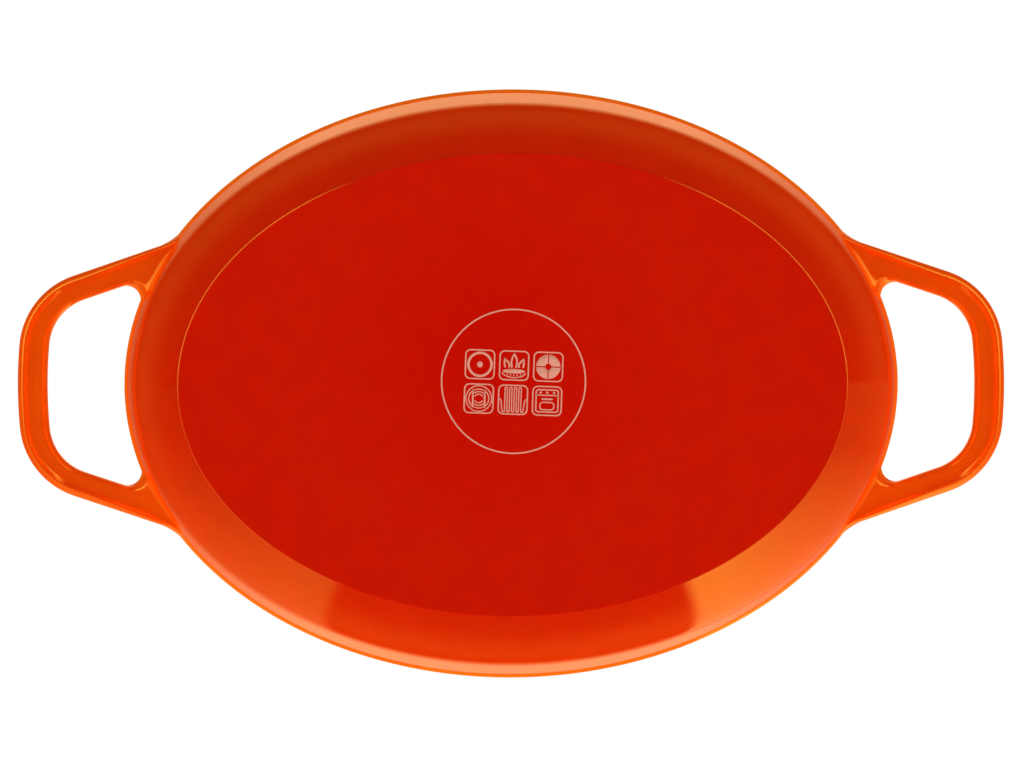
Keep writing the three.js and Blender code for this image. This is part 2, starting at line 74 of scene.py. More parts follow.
HANDLE_REACH = pot_high.x
HANDLE_ROOT_WIDTH = 107.6
FLANK_ANGLE = math.radians(18.7)
FLANK_WIDTH = 11
BAR_WIDTH = 12.3
HANDLE_CORNER_RADIUS = 34
INSIDE_CORNER_RADIUS = 22
GRIP_BOW = math.radians(5)
ROOT_FILLET_OUTSIDE = 24
ROOT_FILLET_INSIDE = 6
HANDLE_THICKNESS = 11
HANDLE_DROP = 2.5
RIDGE_INSET = 3.4
FINGER_GROOVE = 1.7
INNER_EDGE_ROUND = 2.4
ROOT_DROP = 1
ROOT_RISE = 1.2
ROOT_EDGE_LIFT = 4.3
ROOT_SINK = 0.35
ROOT_FOOT = 1.2
ROOT_GROOVE_END = 0.95
FILLET_STEPS, FLANK_STEPS, CORNER_STEPS, GRIP_STEPS = 30, 14, 26, 10

FLANGE_THICKNESS = 5
FLANGE_WIDTH = 15
FLANGE_ROUND = 2
DOME_STEP = 1.6
LID_RISE = 20
DOME_POWER = 2.4
LID_THICKNESS = 4.5
SKIRT_DEPTH = 5
SKIRT_WIDTH = 4
SKIRT_CLEARANCE = 0.8
SKIRT_ROUND = 0.8
BOSS_RADIUS = 18
BOSS_HEIGHT = 1.5
SCREW_SEAT_RADIUS = 11
SCREW_SEAT_HEIGHT = 1.2
SCREW_HOLE_RADIUS = 3.3

OVAL_SEGMENTS = 320
ROUND_SEGMENTS = 96
SHARP_ANGLE = math.radians(40)

half_length = RIM_LENGTH / 2
half_width = RIM_WIDTH / 2
half_pi = math.pi / 2


# Mesh making


def mesh_object(name, vertices_mm, faces, materials, face_materials=None):
    """A smooth-shaded mesh object from vertices in millimetres."""
    mesh = bpy.data.meshes.new(name)
    mesh.from_pydata((np.asarray(vertices_mm, float) * MM).tolist(), [], faces)
    for material in materials:
        mesh.materials.append(material)
    if face_materials is not None:
        mesh.polygons.foreach_set("material_index", np.asarray(face_materials, np.int32))
    mesh.polygons.foreach_set("use_smooth", np.ones(len(mesh.polygons), bool))
    mesh.validate()
    obj = bpy.data.objects.new(name, mesh)
    bpy.context.scene.collection.objects.link(obj)
    return obj


def loft(rings, tube=False):
    """Vertices and faces of a surface through rings of equal length.

    A ring of one repeated point closes the surface. With tube, the last ring joins the first.
    """
    count = len(rings[0])
    vertices, starts = [], []
    for ring in rings:
        ring = np.asarray(ring, float)
        point = np.ptp(ring, axis=0).max() < 1e-9
        starts.append((len(vertices), point))
        vertices.extend(ring[:1] if point else ring)
    faces, face_rings = [], []
    pairs = [(i, i + 1) for i in range(len(rings) - 1)] + ([(len(rings) - 1, 0)] if tube else [])
    for i, j in pairs:
        (low, low_point), (high, high_point) = starts[i], starts[j]
        for k in range(count):
            n = (k + 1) % count
            corners = [low if low_point else low + k]
            if not low_point:
                corners.append(low + n)
            corners.append(high if high_point else high + n)
            if not high_point:
                corners.append(high + k)
            faces.append(corners)
            face_rings.append(i)
    return vertices, faces, face_rings


def face_outwards(obj):
    """Turns all faces of a closed mesh to face out."""
    shape = bmesh.new()
    shape.from_mesh(obj.data)
    bmesh.ops.recalc_face_normals(shape, faces=shape.faces)
    shape.to_mesh(obj.data)
    shape.free()


def arc(centre, radius, start, end, steps):
    """Points [distance, height] on a circle between two tilts. Tilt 0 faces down, 90 degrees faces out."""
    tilts = np.linspace(start, end, steps + 1)
    return np.column_stack([centre[0] - radius * np.sin(tilts), centre[1] - radius * np.cos(tilts)])


def line(start, end, steps):
    """Points from start to end, without the ends."""
    shares = np.linspace(0, 1, steps + 1)[1:-1, None]
    return np.asarray(start) * (1 - shares) + np.asarray(end) * shares


def bezier(start, control, end, steps):
    """Points on a curve that leaves start and reaches end towards the control point, without the ends."""
    t = np.linspace(0, 1, steps + 1)[1:-1, None]
    start, control, end = map(np.asarray, (start, control, end))
    return start * (1 - t) ** 2 + 2 * control * t * (1 - t) + end * t**2


angles = np.linspace(0, 2 * math.pi, OVAL_SEGMENTS, endpoint=False)
oval_cos, oval_sin = np.cos(angles), np.sin(angles)


def oval_ring(a, b, z):
    return np.column_stack([a * oval_cos, b * oval_sin, np.broadcast_to(z, angles.shape)])


def inset_ring(inset, z, scale=1, end_inset=None):
    """A ring inside the rim's outline, with its own inset at the oval's ends where one is given."""
    end_inset = inset if end_inset is None else end_inset
    return oval_ring((half_length - end_inset) * scale, (half_width - inset) * scale, z)


# Materials


def new_material(name, **settings):
    """A Principled material with constant settings, and its node tree."""
    material = bpy.data.materials.new(name)
    material.use_nodes = True
    shader = material.node_tree.nodes["Principled BSDF"]
    for socket, value in settings.items():
        shader.inputs[socket.replace("_", " ")].default_value = value
    return material, material.node_tree, shader


def add_node(tree, kind, inputs=None, **properties):
    """A node with its properties and inputs set. An input is a value or another node's output."""
    node = tree.nodes.new(kind)
    for name, value in properties.items():
        setattr(node, name, value)
    for name, value in (inputs or {}).items():
        if isinstance(value, bpy.types.NodeSocket):
            tree.links.new(value, node.inputs[name])
        else:
            node.inputs[name].default_value = value
    return node


def object_position(tree):
    return add_node(tree, "ShaderNodeTexCoord").outputs["Object"]


def noise(tree, position, scale, detail=2.0, roughness=0.5):
    node = add_node(tree, "ShaderNodeTexNoise", {"Scale": scale, "Detail": detail, "Roughness": roughness})
    tree.links.new(position, node.inputs["Vector"])
    return node.outputs["Fac"]


def mapped(tree, value, low, high, to_low, to_high):
    node = add_node(
        tree,
        "ShaderNodeMapRange",
        {"Value": value, "From Min": low, "From Max": high, "To Min": to_low, "To Max": to_high},
    )
    return node.outputs["Result"]


def math_node(tree, operation, *values):
    return add_node(tree, "ShaderNodeMath", dict(enumerate(values)), operation=operation).outputs[0]


def bump(tree, shader, height, distance, strength=1.0):
    node = add_node(tree, "ShaderNodeBump", {"Height": height, "Distance": distance, "Strength": strength})
    tree.links.new(node.outputs["Normal"], shader.inputs["Normal"])


def ramp(tree, value, stops):
    node = add_node(tree, "ShaderNodeValToRGB", {"Fac": value})
    elements = node.color_ramp.elements
    while len(elements) < len(stops):
        elements.new(0.5)
    for element, (place, colour) in zip(elements, stops):
        element.position = place
        element.color = (*colour, 1)
    return node.outputs["Color"]


def tinted(tree, colour, value, low, high):
    """The colour, made darker or lighter by a value from 0 to 1."""
    shade = mapped(tree, value, 0.3, 0.7, low, high)
    grey = add_node(tree, "ShaderNodeCombineColor", {"Red": shade, "Green": shade, "Blue": shade})
    mix = add_node(tree, "ShaderNodeMix", {"Factor": 1.0}, data_type="RGBA", blend_type="MULTIPLY")
    tree.links.new(colour, mix.inputs[6])
    tree.links.new(grey.outputs["Color"], mix.inputs[7])
    return mix.outputs[2]


# The glaze pools red low on a casting and thins to orange towards the rim
GLAZE_STOPS = [
    (0.0, (0.60, 0.0036, 0.0002)),
    (0.01, (0.62, 0.011, 0.0003)),
    (0.2, (0.71, 0.028, 0.0003)),
    (0.5, (0.79, 0.055, 0.0004)),
    (0.88, (0.86, 0.063, 0.0006)),
    (0.93, (0.90, 0.12, 0.001)),
    (1.0, (0.93, 0.2, 0.003)),
]
# Away from head on, plain colour and a warm gloss take these shares, and the gain keeps the colour's level
DULL_SHARE, DULL_GAIN = 0.827, 1.4
LUSTRE_SHARE = 0.25
ENAMEL_LUSTRE = (0.96, 0.545, 0.058, 1)
HEAD_ON = 0.002


def enamel_outside(name, low, high):
    """Glossy enamel whose glaze runs from red at low to orange at high, its gloss warm at every angle.

    Head on, where the export reads the colour, the main shader is alone.
    """
    material, tree, shader = new_material(name, IOR=1.5, Specular_Tint=(1.0, 0.55, 0.12, 1.0))
    position = object_position(tree)
    height = add_node(tree, "ShaderNodeSeparateXYZ", {"Vector": position}).outputs["Z"]
    wander = mapped(tree, noise(tree, position, 14, 3), 0.0, 1.0, -0.03, 0.03)
    share = mapped(tree, height, low * MM, high * MM, 0.0, 1.0)
    glaze = math_node(tree, "MULTIPLY_ADD", share, wander, share)
    colour = ramp(tree, glaze, GLAZE_STOPS)
    mottled = tinted(tree, colour, noise(tree, position, 95, 4, 0.6), 0.95, 1.04)
    tree.links.new(mottled, shader.inputs["Base Color"])
    gloss = mapped(tree, noise(tree, position, 40, 3), 0.3, 0.7, 0.055, 0.085)
    tree.links.new(gloss, shader.inputs["Roughness"])
    bump(tree, shader, noise(tree, position, 75, 2), 0.00006)
    gained = add_node(tree, "ShaderNodeVectorMath", {0: mottled, "Scale": DULL_GAIN}, operation="SCALE")
    dull = add_node(tree, "ShaderNodeBsdfDiffuse", {"Color": gained.outputs["Vector"]})
    facing = add_node(tree, "ShaderNodeLayerWeight", {"Blend": 0.5}).outputs["Facing"]
    mix = add_node(tree, "ShaderNodeMixShader", {0: mapped(tree, facing, 0.0, HEAD_ON, 0.0, DULL_SHARE)})
    tree.links.new(shader.outputs["BSDF"], mix.inputs[1])
    tree.links.new(dull.outputs["BSDF"], mix.inputs[2])
    lustre = add_node(tree, "ShaderNodeBsdfGlossy", {"Color": ENAMEL_LUSTRE})
    tree.links.new(gloss, lustre.inputs["Roughness"])
    both = add_node(tree, "ShaderNodeMixShader", {0: mapped(tree, facing, 0.0, HEAD_ON, 0.0, LUSTRE_SHARE)})
    tree.links.new(mix.outputs["Shader"], both.inputs[1])
    tree.links.new(lustre.outputs["BSDF"], both.inputs[2])
    tree.links.new(both.outputs["Shader"], tree.nodes["Material Output"].inputs["Surface"])
    return material


def enamel_inside(name):
    """Cream enamel with fine specks."""
    material, tree, shader = new_material(name, IOR=1.5)
    position = object_position(tree)
    cream = ramp(tree, noise(tree, position, 30, 4), [(0.3, (0.80, 0.72, 0.55)), (0.7, (0.84, 0.77, 0.61))])
    specks = mapped(tree, noise(tree, position, 900, 1), 0.24, 0.3, 0.0, 1.0)
    tree.links.new(tinted(tree, cream, specks, 0.8, 1.0), shader.inputs["Base Color"])
    rough = mapped(tree, noise(tree, position, 60, 2), 0.3, 0.7, 0.12, 0.18)
    tree.links.new(rough, shader.inputs["Roughness"])
    bump(tree, shader, noise(tree, position, 80, 2), 0.00008)
    return material


def rim_enamel(name):
    """Matte dark enamel on the bare faces where lid and pot meet."""
    material, tree, shader = new_material(name, IOR=1.5)
    position = object_position(tree)
    grain = noise(tree, position, 700, 3, 0.7)
    dark = ramp(tree, grain, [(0.3, (0.018, 0.017, 0.016)), (0.75, (0.05, 0.046, 0.042))])
    tree.links.new(dark, shader.inputs["Base Color"])
    tree.links.new(mapped(tree, grain, 0.3, 0.7, 0.38, 0.55), shader.inputs["Roughness"])
    bump(tree, shader, grain, 0.00005)
    return material


def turned_metal(name, dark, light, rough_low, rough_high, groove):
    """Metal with fine turning marks around Z."""
    material, tree, shader = new_material(name, Metallic=1.0)
    position = object_position(tree)
    axes = add_node(tree, "ShaderNodeSeparateXYZ", {"Vector": position}).outputs
    flat = add_node(tree, "ShaderNodeCombineXYZ", {"X": axes["X"], "Y": axes["Y"]})
    radius = add_node(tree, "ShaderNodeVectorMath", {0: flat.outputs["Vector"]}, operation="LENGTH")
    along = add_node(tree, "ShaderNodeCombineXYZ", {"X": radius.outputs["Value"], "Z": axes["Z"]})
    marks = noise(tree, along.outputs["Vector"], 2600, 3, 0.6)
    cloud = noise(tree, position, 60, 3)
    tree.links.new(ramp(tree, cloud, [(0.3, dark), (0.7, light)]), shader.inputs["Base Color"])
    tree.links.new(mapped(tree, marks, 0.3, 0.7, rough_low, rough_high), shader.inputs["Roughness"])
    bump(tree, shader, marks, groove)
    return material


def silicone_rubber(name):
    """Matte black rubber with a fine grain."""
    material, tree, shader = new_material(name, IOR=1.41)
    position = object_position(tree)
    grain = noise(tree, position, 1500, 2)
    black = ramp(tree, grain, [(0.3, (0.018, 0.018, 0.019)), (0.7, (0.03, 0.03, 0.032))])
    tree.links.new(black, shader.inputs["Base Color"])
    tree.links.new(mapped(tree, grain, 0.3, 0.7, 0.55, 0.7), shader.inputs["Roughness"])
    bump(tree, shader, grain, 0.00003)
    return material


def print_ink(name):
    """Thin pale ink that lets some of the red through."""
    material, tree, shader = new_material(name, IOR=1.5, Roughness=0.3)
    position = object_position(tree)
    cover = noise(tree, position, 2200, 3, 0.6)
    colours = [(0.3, (0.72, 0.20, 0.12)), (0.5, (0.84, 0.33, 0.22)), (0.75, (0.88, 0.44, 0.32))]
    tree.links.new(ramp(tree, cover, colours), shader.inputs["Base Color"])
    return material


pot_enamel = enamel_outside("enamel_pot", 0, POT_HEIGHT)
lid_enamel = enamel_outside("enamel_lid", lid_low.z - 90, lid_high.z - 2)
cream_enamel = enamel_inside("enamel_cream")
seat_enamel = rim_enamel("enamel_seat")
stainless = turned_metal("stainless", (0.68, 0.68, 0.69), (0.75, 0.75, 0.755), 0.18, 0.28, 0.000004)
plain_steel = turned_metal("plain_steel", (0.44, 0.44, 0.45), (0.54, 0.54, 0.55), 0.26, 0.4, 0.00001)
brass = turned_metal("brass", (0.55, 0.38, 0.15), (0.65, 0.47, 0.2), 0.22, 0.34, 0.00001)
silicone = silicone_rubber("silicone")
ink = print_ink("print_ink")
OUTSIDE, SEAT, INSIDE = range(3)


# Pot

bead_radius = LIP_HEIGHT / 2
bead_centre = (bead_radius, POT_HEIGHT - bead_radius)
wall_top_z = POT_HEIGHT - LIP_HEIGHT
wall_tilt = half_pi - WALL_DRAFT


def outer_wall_inset(z):
    return LIP_OVERHANG + (wall_top_z - z) * math.tan(WALL_DRAFT)


def end_lean(z):
    """How much further out the outer wall lies at the oval's ends than at its sides."""
    return FOOT_LEAN * max(0, 1 - z / wall_top_z)


def inner_wall_inset(z):
    return outer_wall_inset(z) + WALL / math.cos(WALL_DRAFT)


def pot_profile():
    """The pot's section as rows of inset, height, scale and material, from the base round to the floor."""
    wall_foot_z = BASE_PAD_STEP + CORNER_RADIUS * (math.cos(BASE_EDGE_TILT) - math.sin(WALL_DRAFT))
    corner_centre = (
        outer_wall_inset(wall_foot_z) + CORNER_RADIUS * math.cos(WALL_DRAFT),
        wall_foot_z + CORNER_RADIUS * math.sin(WALL_DRAFT),
    )
    corner = arc(corner_centre, CORNER_RADIUS, BASE_EDGE_TILT + 0.004, wall_tilt, 48)

    # The pad's rounded edge, then a small hollow where the round starts
    pad_centre = (corner[0][0] + BASE_PAD_INSET, BASE_PAD_ROUND)
    pad_edge = arc(pad_centre, BASE_PAD_ROUND, 0, BASE_PAD_EDGE_TILT, 12)
    hollow = bezier(pad_edge[-1], pad_edge[-1] + [-0.06, 0.12], corner[0], 6)

    # The bead along the rim, with a small cove under it
    cove_start = (outer_wall_inset(wall_top_z - LIP_COVE), wall_top_z - LIP_COVE)
    bead_foot_tilt = math.asin(1 - LIP_OVERHANG / bead_radius) + LIP_COVE_TURN
    bead = arc(bead_centre, bead_radius, bead_foot_tilt, math.pi, 28)
    cove = bezier(cove_start, (LIP_OVERHANG, wall_top_z + 0.1), bead[0], 6)

    # Inside: the mouth's rounded edge, the wall, the round and the floor
    mouth_centre = (inner_wall_inset(POT_HEIGHT) - MOUTH_ROUND, POT_HEIGHT)
    mouth_end = (inner_wall_inset(POT_HEIGHT - MOUTH_ROUND), POT_HEIGHT - MOUTH_ROUND)
    mouth = bezier(mouth_centre, (inner_wall_inset(POT_HEIGHT), POT_HEIGHT), mouth_end, 6)
    round_top_z = FLOOR + INNER_CORNER_RADIUS * (1 - math.sin(WALL_DRAFT))
    inner_centre = (
        inner_wall_inset(round_top_z) + INNER_CORNER_RADIUS * math.cos(WALL_DRAFT),
        FLOOR + INNER_CORNER_RADIUS,
    )
    inner = arc(inner_centre, INNER_CORNER_RADIUS, wall_tilt, 0, 40)

    rows = []

    def add(points, material, scale=1):
        rows.extend((inset, z, scale, material) for inset, z in points)

    for scale in np.linspace(0, 1, 13)[:-1]:
        rows.append((pad_edge[0][0], 0, scale, OUTSIDE))
    add(pad_edge, OUTSIDE)
    add(hollow, OUTSIDE)
    add(corner, OUTSIDE)
    add(line(corner[-1], cove_start, 40), OUTSIDE)
    add([cove_start], OUTSIDE)
    add(cove, OUTSIDE)
    add(bead, OUTSIDE)
    rows[-1] = (*rows[-1][:3], SEAT)
    add([mouth_centre], SEAT)
    add(mouth, SEAT)
    add([mouth_end], INSIDE)
    add(line(mouth_end, inner[0], 36), INSIDE)
    add(inner, INSIDE)
    for scale in np.linspace(1, 0, 10)[1:]:
        rows.append((inner[-1][0], FLOOR, scale, INSIDE))
    return rows


def pot_shell():
    profile = pot_profile()
    rings = []
    for inset, z, scale, zone in profile:
        end_inset = inset - end_lean(z) if zone == OUTSIDE else inset
        rings.append(inset_ring(inset, z, scale, end_inset))
    vertices, faces, face_rings = loft(rings)
    zones = [profile[i][3] for i in face_rings]
    return mesh_object("pot_body_enamel", vertices, faces, [pot_enamel, seat_enamel, cream_enamel], zones)


# Handles. The outline is worked out for the half with y > 0 of the handle at +X, and mirrored.

flank_direction = np.array([math.cos(FLANK_ANGLE), -math.sin(FLANK_ANGLE)])
flank_normal = np.array([math.sin(FLANK_ANGLE), math.cos(FLANK_ANGLE)])
flank_start = np.array([half_length, HANDLE_ROOT_WIDTH / 2])


def root_oval(z):
    """The half length and half width of the pot's skin at a height, less the sink of a handle's root."""
    below = min(max(bead_centre[1] - z, 0), bead_radius)
    bead_inset = bead_radius - math.sqrt(bead_radius**2 - below**2)
    wall_inset = outer_wall_inset(min(z, wall_top_z))
    a = half_length - min(bead_inset, wall_inset - end_lean(z)) - ROOT_SINK
    b = half_width - min(bead_inset, wall_inset) - ROOT_SINK
    return a, b


def nearest_on_oval(point, a, b):
    """The point of an oval nearest to a point, by steps along its centres of curvature."""
    x, y = abs(point[0]), abs(point[1])
    c = s = math.sqrt(0.5)
    for _ in range(8):
        evolute_x = (a * a - b * b) * c**3 / a
        evolute_y = (b * b - a * a) * s**3 / b
        reach = math.hypot(a * c - evolute_x, b * s - evolute_y)
        away = math.hypot(x - evolute_x, y - evolute_y)
        c = min(max((evolute_x + (x - evolute_x) * reach / away) / a, 0), 1)
        s = min(max((evolute_y + (y - evolute_y) * reach / away) / b, 0), 1)
        c, s = c / math.hypot(c, s), s / math.hypot(c, s)
    return np.array([math.copysign(a * c, point[0]), math.copysign(b * s, point[1])])


def circle_points(centre, radius, start, end, steps):
    turn = np.linspace(start, end, steps + 1)
    return centre + radius * np.column_stack([np.cos(turn), np.sin(turn)])


def root_fillet(line_point, radius, side, oval, steps):
    """The fillet between an oval and a flank line, from the oval to the line."""
    a, b = oval
    low, high = -HANDLE_ROOT_WIDTH / 2, HANDLE_REACH - half_length
    for _ in range(24):
        middle = (low + high) / 2
        centre = line_point + flank_direction * middle + flank_normal * side * radius
        foot = nearest_on_oval(centre, a, b)
        outside = (centre[0] / a) ** 2 + (centre[1] / b) ** 2 > 1
        if outside and math.hypot(*(centre - foot)) > radius:
            high = middle
        else:
            low = middle
    to_skin = foot - centre
    start = math.atan2(to_skin[1], to_skin[0])
    end = math.atan2(-side * flank_normal[1], -side * flank_normal[0])
    turn = math.remainder(end - start, 2 * math.pi)
    return circle_points(centre, radius, start, start + turn, steps)


def loop_edge(offset, reach, corner_radius, fillet_radius, side, oval):
    """One edge of the bar in plan: from the pot's skin, along the flank and round the corner to the grip."""
    start = flank_start - offset * flank_normal
    bow = math.tan(GRIP_BOW / 2)
    corner_y = HANDLE_ROOT_WIDTH / 4
    for _ in range(6):
        end_y = corner_y + corner_radius * math.sin(GRIP_BOW)
        corner_x = reach - corner_radius * math.cos(GRIP_BOW) - end_y * bow
        rise = corner_radius + flank_normal[0] * (corner_x - start[0])
        corner_y = start[1] - rise / flank_normal[1]
    corner_centre = np.array([corner_x, corner_y])
    corner_angle = math.atan2(flank_normal[1], flank_normal[0])
    grip_radius = end_y / math.sin(GRIP_BOW)
    fillet = root_fillet(start, fillet_radius, side, oval, FILLET_STEPS)
    corner = circle_points(corner_centre, corner_radius, corner_angle, GRIP_BOW, CORNER_STEPS)
    flank = line(fillet[-1], corner[0], FLANK_STEPS)
    grip = circle_points((reach - grip_radius, 0), grip_radius, GRIP_BOW, 0, GRIP_STEPS)[1:]
    return np.vstack([fillet, flank, corner, grip])


def bar_section(width, root):
    """The bar's section as rows of distance from its outer edge and height above its middle.

    At the root the bar grows thicker, and its outer edge rises to the bead.
    """
    half = HANDLE_THICKNESS / 2
    flare = root**2
    top = half + ROOT_RISE * flare
    bottom = -half - ROOT_DROP * flare
    edge = ROOT_EDGE_LIFT * flare
    hollow = bottom + FINGER_GROOVE * max(0, 1 - root / ROOT_GROOVE_END) ** 0.7
    inside = width - INNER_EDGE_ROUND
    upper = top - INNER_EDGE_ROUND / 4
    turn = np.linspace(0, half_pi, 17)
    inwards = RIDGE_INSET * (1 - np.cos(turn))
    over = np.column_stack([inwards, edge + (top - edge) * np.sin(turn)])
    under = np.column_stack([inwards, edge + (bottom - edge) * np.sin(turn)])[:0:-1]
    ridge = np.array([RIDGE_INSET, bottom])
    groove_start = np.array([inside, hollow])
    return np.vstack(
        [
            over,
            line((RIDGE_INSET, top), (inside, upper), 6),
            [(inside, upper)],
            bezier((inside, upper), (width, upper), (width, 0.2 * top), 9),
            [(width, 0.2 * top)],
            bezier((width, 0.2 * top), (width, hollow), groove_start, 9),
            [groove_start],
            bezier(groove_start, (RIDGE_INSET + 1.6, hollow), ridge + [0.1, 0.03], 10),
            [ridge + [0.1, 0.03]],
            under,
        ]
    )


def handle_loop(side):
    """One loop handle, at +X for side 1 and at -X for side -1."""
    middle_z = POT_HEIGHT - HANDLE_DROP - HANDLE_THICKNESS / 2
    root_section = bar_section(BAR_WIDTH, 1)
    inner_reach = HANDLE_REACH - BAR_WIDTH
    edges = []
    for _, height in root_section:
        oval = root_oval(middle_z + height)
        outer = loop_edge(0, HANDLE_REACH, HANDLE_CORNER_RADIUS, ROOT_FILLET_OUTSIDE, 1, oval)
        inner = loop_edge(FLANK_WIDTH, inner_reach, INSIDE_CORNER_RADIUS, ROOT_FILLET_INSIDE, -1, oval)
        edges.append((outer, inner))
    stations = len(edges[0][0])
    half = []
    for i in range(stations):
        root = max(0, 1 - i / FILLET_STEPS)
        width = math.hypot(*(edges[0][1][i] - edges[0][0][i]))
        ring = []
        for (distance, height), (outer, inner) in zip(bar_section(width, root), edges):
            point = outer[i] + (inner[i] - outer[i]) * distance / width
            ring.append((*point, middle_z + height))
        half.append(np.array(ring))
    foot = half[0].copy()
    foot[:, 0] -= ROOT_FOOT
    upper = [foot, *half]
    rings = upper + [ring * [1, -1, 1] for ring in upper[-2::-1]]
    rings = [ring * [side, side, 1] for ring in rings]
    ends = [[np.mean(ring, axis=0)] * len(ring) for ring in (rings[0], rings[-1])]
    vertices, faces, _ = loft([ends[0], *rings, ends[1]])
    handle = mesh_object("handle", vertices, faces, [pot_enamel, seat_enamel, cream_enamel])
    face_outwards(handle)
    return handle


def merge(obj, others):
    """Joins closed meshes into obj as one skin."""
    for other in others:
        modifier = obj.modifiers.new("join", "BOOLEAN")
        modifier.operation = "UNION"
        modifier.solver = "EXACT"
        modifier.object = other
    graph = bpy.context.evaluated_depsgraph_get()
    joined = bpy.data.meshes.new_from_object(obj.evaluated_get(graph))
    obj.modifiers.clear()
    obj.data = joined
    for other in others:
        bpy.data.objects.remove(other)


def pot_body():
    pot = pot_shell()
    merge(pot, [handle_loop(1), handle_loop(-1)])
    pot.data.polygons.foreach_set("use_smooth", np.ones(len(pot.data.polygons), bool))
    pot.data.set_sharp_from_angle(angle=SHARP_ANGLE)
    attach(pot, "pot")
    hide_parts("pot_body")
    return pot


# Lid

lid_seat_z = lid_low.z + SKIRT_DEPTH
dome_inset = LID_EDGE_INSET + FLANGE_WIDTH
dome_length = half_length - dome_inset
dome_width = half_width - dome_inset
dome_foot_z = lid_seat_z + FLANGE_THICKNESS + DOME_STEP


def dome_z(ring, drop=0):
    """The dome's height at each point of a ring."""
    share = np.hypot(ring[:, 0] / dome_length, ring[:, 1] / dome_width)
    return dome_foot_z - drop + LID_RISE * (1 - np.minimum(share, 1) ** DOME_POWER)


def dome_ring(share, inner_radius, drop=0):
    """A ring on the dome, from a circle around the boss at share 0 to the dome's foot at share 1."""
    a = inner_radius + (dome_length - inner_radius) * share
    b = inner_radius + (dome_width - inner_radius) * share
    ring = oval_ring(a, b, 0)
    ring[:, 2] = dome_z(ring, drop)
    return ring


def circle_ring(radius, z):
    return oval_ring(radius, radius, z)


def lid_shell():
    """The lid's skin as rings: from the screw hole, out under the lid to the flange, back over the dome."""
    top_z = dome_foot_z + LID_RISE
    boss_z = top_z + BOSS_HEIGHT
    seat_z = top_z - LID_THICKNESS - SCREW_SEAT_HEIGHT
    skirt_top = inner_wall_inset(POT_HEIGHT) + SKIRT_CLEARANCE
    skirt_foot = inner_wall_inset(POT_HEIGHT - SKIRT_DEPTH) + SKIRT_CLEARANCE
    foot_z = lid_seat_z - SKIRT_DEPTH
    rib_in = skirt_foot + SKIRT_WIDTH
    rows = []

    def add(rings, zone):
        rows.extend((ring, zone) for ring in rings)

    def add_insets(points, zone):
        add([inset_ring(inset, z) for inset, z in points], zone)

    # Under the lid
    seat_radii = (SCREW_HOLE_RADIUS, SCREW_SEAT_RADIUS - 0.6, SCREW_SEAT_RADIUS - 0.2)
    add([circle_ring(radius, seat_z) for radius in seat_radii], INSIDE)
    add([circle_ring(SCREW_SEAT_RADIUS, seat_z + 0.4)], INSIDE)
    under_radius = SCREW_SEAT_RADIUS + 0.8
    add([dome_ring(share, under_radius, LID_THICKNESS) for share in np.linspace(0, 0.985, 44)], INSIDE)

    # The rib that drops into the mouth
    rib_root = (dome_inset, dome_foot_z - LID_THICKNESS)
    inner_foot = (rib_in, foot_z + SKIRT_ROUND)
    inner_round = (rib_in - SKIRT_ROUND, foot_z + SKIRT_ROUND)
    outer_round = (skirt_foot + SKIRT_ROUND, foot_z + SKIRT_ROUND)
    add_insets(bezier((dome_inset + 2, rib_root[1] + 0.8), rib_root, inner_foot, 10), INSIDE)
    add_insets(arc(inner_round, SKIRT_ROUND, -half_pi, 0, 6), INSIDE)
    add_insets(arc(outer_round, SKIRT_ROUND, 0, half_pi, 6), SEAT)

    # The seat and the flange's rounded edge
    add_insets([(skirt_top, lid_seat_z)], SEAT)
    edge = LID_EDGE_INSET + FLANGE_ROUND
    upper = FLANGE_THICKNESS - FLANGE_ROUND
    add_insets(arc((edge, lid_seat_z + FLANGE_ROUND), FLANGE_ROUND, 0, half_pi, 10), OUTSIDE)
    add_insets(arc((edge, lid_seat_z + upper), FLANGE_ROUND, half_pi, math.pi, 10), OUTSIDE)

    # The flange, its step up to the dome, the dome and the boss
    flange_z = lid_seat_z + FLANGE_THICKNESS
    step_start = (dome_inset - 3.2, flange_z)
    step_end = (dome_inset + 1.5, dome_foot_z + 0.5)
    add_insets([(inset, flange_z) for inset in np.linspace(edge, step_start[0], 6)[1:]], OUTSIDE)
    add_insets(bezier(step_start, (dome_inset - 1, flange_z), step_end, 12), OUTSIDE)
    boss_foot = BOSS_RADIUS + 1.4
    add([dome_ring(share, boss_foot) for share in np.linspace(0.982, 0, 64)], OUTSIDE)
    boss = [
        (BOSS_RADIUS + 0.5, top_z + 0.15),
        (BOSS_RADIUS + 0.1, top_z + 0.5),
        (BOSS_RADIUS, boss_z - 0.6),
        (BOSS_RADIUS - 0.2, boss_z - 0.18),
        (BOSS_RADIUS - 0.6, boss_z),
        (SCREW_HOLE_RADIUS, boss_z),
    ]
    add([circle_ring(radius, z) for radius, z in boss], OUTSIDE)

    vertices, faces, face_rings = loft([ring for ring, _ in rows], tube=True)
    zones = [rows[i][1] for i in face_rings]
    lid = mesh_object("lid_enamel", vertices, faces, [lid_enamel, seat_enamel, cream_enamel], zones)
    face_outwards(lid)
    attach(lid, "lid_and_knob")
    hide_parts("lid")
    return lid


# Knob


def turned(name, profile, material, body, node):
    """A round piece from rows of radius and height, closed on itself."""
    turn = np.linspace(0, 2 * math.pi, ROUND_SEGMENTS, endpoint=False)
    cos, sin = np.cos(turn), np.sin(turn)
    rings = [np.column_stack([r * cos, r * sin, np.full(ROUND_SEGMENTS, z)]) for r, z in profile]
    closed = profile[0][0] < 1e-9 and profile[-1][0] < 1e-9
    vertices, faces, _ = loft(rings, tube=not closed)
    piece = mesh_object(name, vertices, faces, [material])
    face_outwards(piece)
    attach(piece, body)
    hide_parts(node)
    return piece


